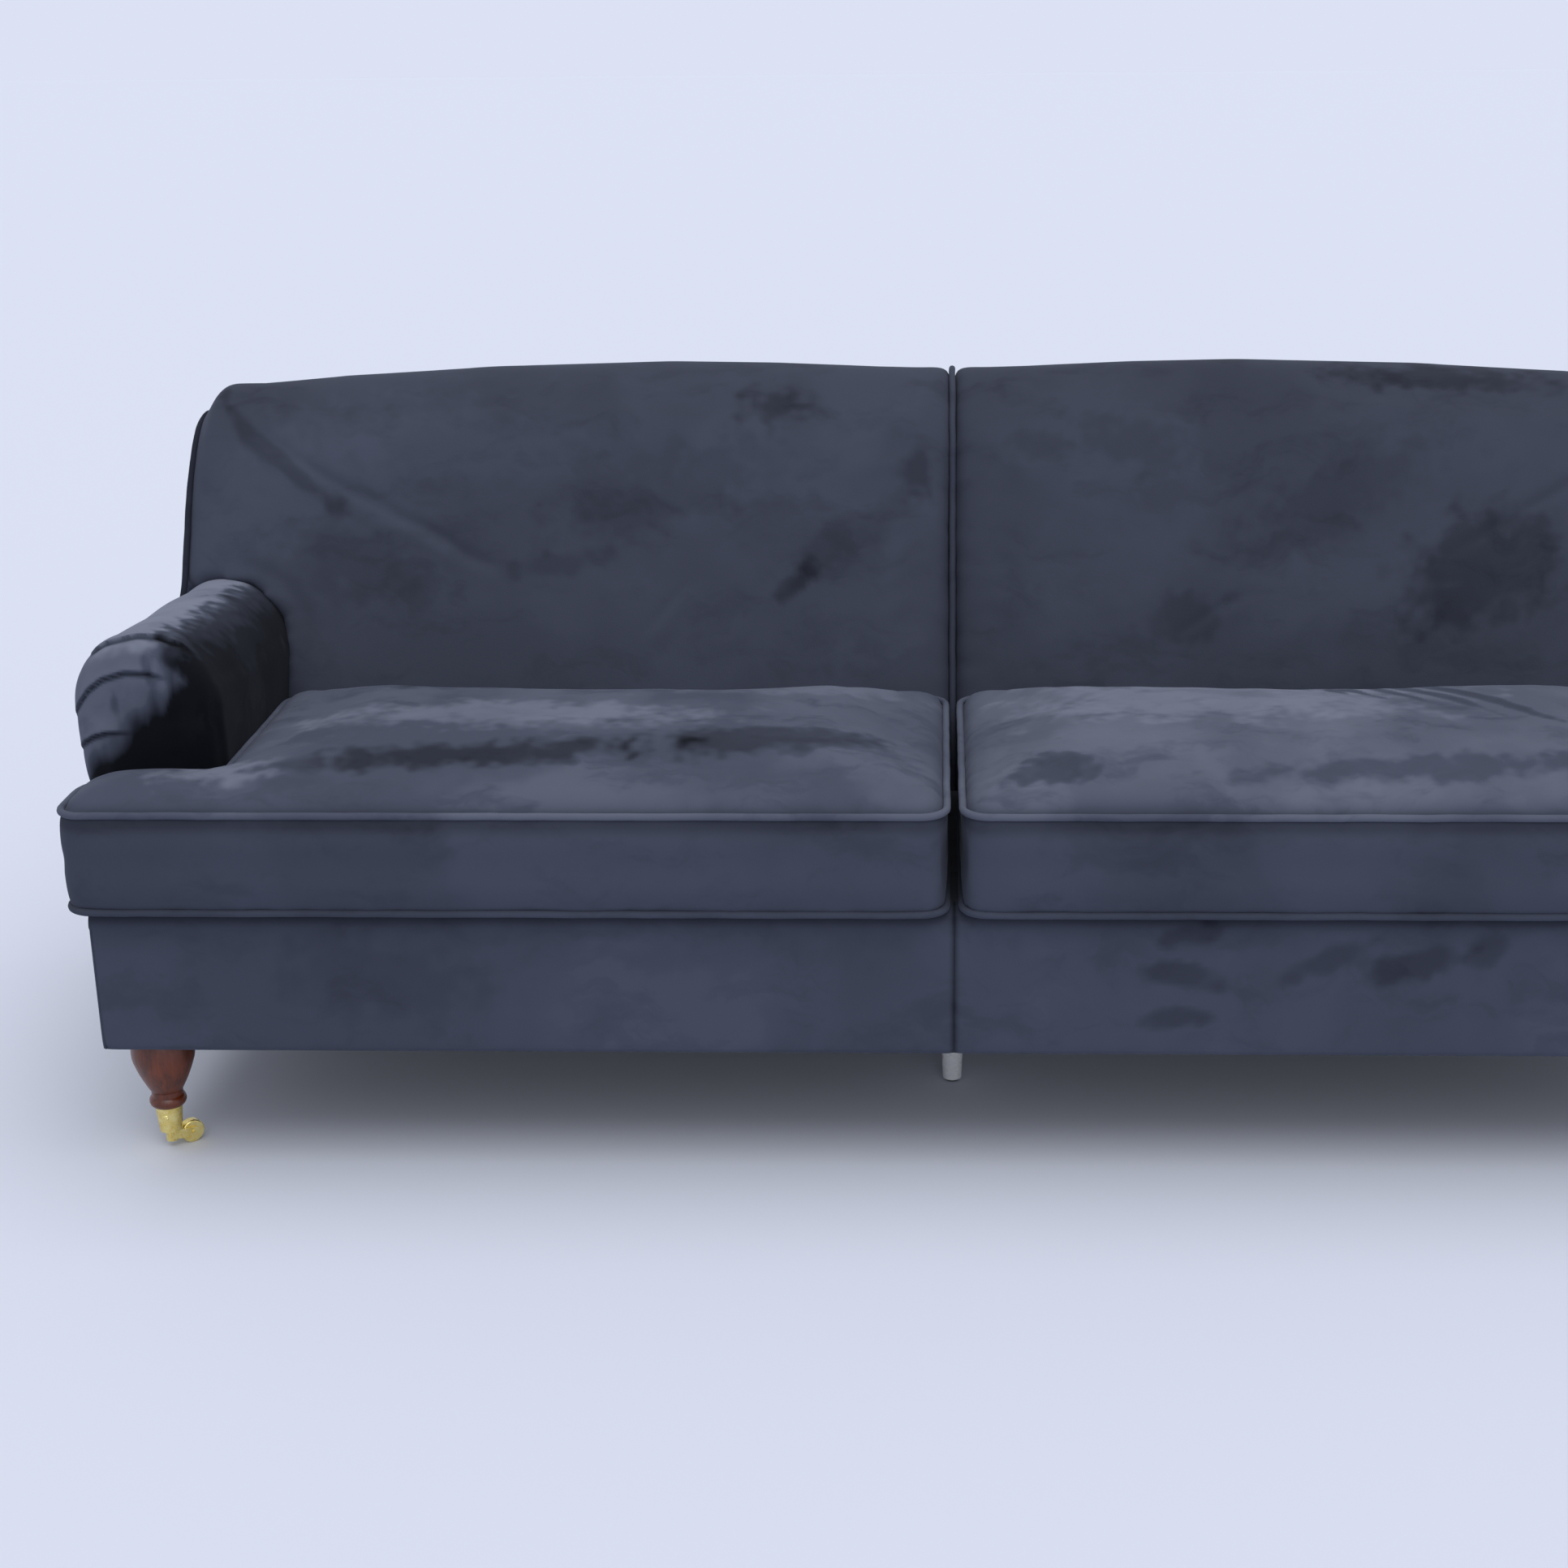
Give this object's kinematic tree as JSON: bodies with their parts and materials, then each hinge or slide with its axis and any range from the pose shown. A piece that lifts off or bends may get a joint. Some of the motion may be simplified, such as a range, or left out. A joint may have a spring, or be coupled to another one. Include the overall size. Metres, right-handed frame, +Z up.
{
  "type": "upholstered sofa",
  "caption": "Velvet roll-arm sofa with loose L-shaped seat cushions, a tight padded back, turned front legs on brass casters and a metal middle leg.",
  "frame": {"origin": "on the floor, under the middle of the sofa's outline", "axes": "+X to the right as seen from the front, +Y towards the back, +Z up"},
  "size_m": [2.1844, 0.8801, 0.8915],
  "materials": {
    "velvet": "cut-pile velvet, grey blue",
    "deck_cloth": "plain woven platform cloth",
    "dust_cloth": "black non-woven",
    "foam": "open-cell foam",
    "felt": "needled felt",
    "webbing": "woven jute webbing",
    "timber": "sawn hardwood",
    "mahogany": "dark polished mahogany stain",
    "brass": "aged polished brass",
    "zinc_steel": "zinc plated",
    "spring_steel": "oil-tempered wire",
    "polished_metal": "satin chrome",
    "glide_plastic": "moulded nylon"
  },
  "bodies": {
    "sofa": {"arm_posts": "timber", "arm_rails": "timber", "back_posts": "timber", "back_webbing": "webbing", "centre_back_piping": "velvet", "centre_rail": "timber", "corner_blocks": "timber", "cup_screws": "brass", "deck_cloth": "deck_cloth", "dust_cover": "dust_cloth", "front_pad": "foam", "front_rail": "timber", "left_arm_cover": "velvet", "left_arm_pad": "foam", "left_back_cover": "velvet", "left_back_pad": "foam", "left_back_piping": "velvet", "left_caster_cup": "brass", "left_front_border": "velvet", "left_front_leg": "mahogany", "left_outside_arm": "velvet", "left_outside_back": "velvet", "left_rear_leg": "mahogany", "leg_bolts": "zinc_steel", "lower_back_rail": "timber", "rear_glides": "glide_plastic", "rear_rail": "timber", "right_arm_cover": "velvet", "right_arm_pad": "foam", "right_back_cover": "velvet", "right_back_pad": "foam", "right_back_piping": "velvet", "right_caster_cup": "brass", "right_front_border": "velvet", "right_front_leg": "mahogany", "right_outside_arm": "velvet", "right_outside_back": "velvet", "right_rear_leg": "mahogany", "seat_felt": "felt", "seat_springs": "spring_steel", "side_rails": "timber", "spring_clips": "zinc_steel", "spring_rail": "timber", "support_glide": "glide_plastic", "support_leg": "polished_metal", "support_screws": "zinc_steel", "tee_nuts": "zinc_steel", "top_back_rail": "timber"},
    "left_caster": {"left_caster_horn": "brass", "left_caster_axle": "brass"},
    "left_wheel": {"left_caster_wheel": "brass"},
    "right_caster": {"right_caster_horn": "brass", "right_caster_axle": "brass"},
    "right_wheel": {"right_caster_wheel": "brass"},
    "left_cushion": {"left_cushion_cover": "velvet", "left_cushion_core": "foam", "left_cushion_piping": "velvet"},
    "right_cushion": {"right_cushion_cover": "velvet", "right_cushion_core": "foam", "right_cushion_piping": "velvet"}
  },
  "joints": [
    {"name": "left_caster_swivel", "type": "hinge", "parent": "sofa", "child": "left_caster", "pos_m": [-0.996, -0.345, 0.028], "axis": [0, 0, 1], "continuous": true},
    {"name": "left_wheel_spin", "type": "hinge", "parent": "left_caster", "child": "left_wheel", "pos_m": [-0.9757, -0.32797, 0.015], "axis": [-0.6428, 0.766, 0], "continuous": true},
    {"name": "left_cushion_lift", "type": "slide", "parent": "sofa", "child": "left_cushion", "axis": [0, 0, 1], "range_m": [0, 0.33]},
    {"name": "right_caster_swivel", "type": "hinge", "parent": "sofa", "child": "right_caster", "pos_m": [0.996, -0.345, 0.028], "axis": [0, 0, 1], "continuous": true},
    {"name": "right_wheel_spin", "type": "hinge", "parent": "right_caster", "child": "right_wheel", "pos_m": [0.9757, -0.32797, 0.015], "axis": [-0.6428, -0.766, 0], "continuous": true},
    {"name": "right_cushion_lift", "type": "slide", "parent": "sofa", "child": "right_cushion", "axis": [0, 0, 1], "range_m": [0, 0.33]}
  ]
}
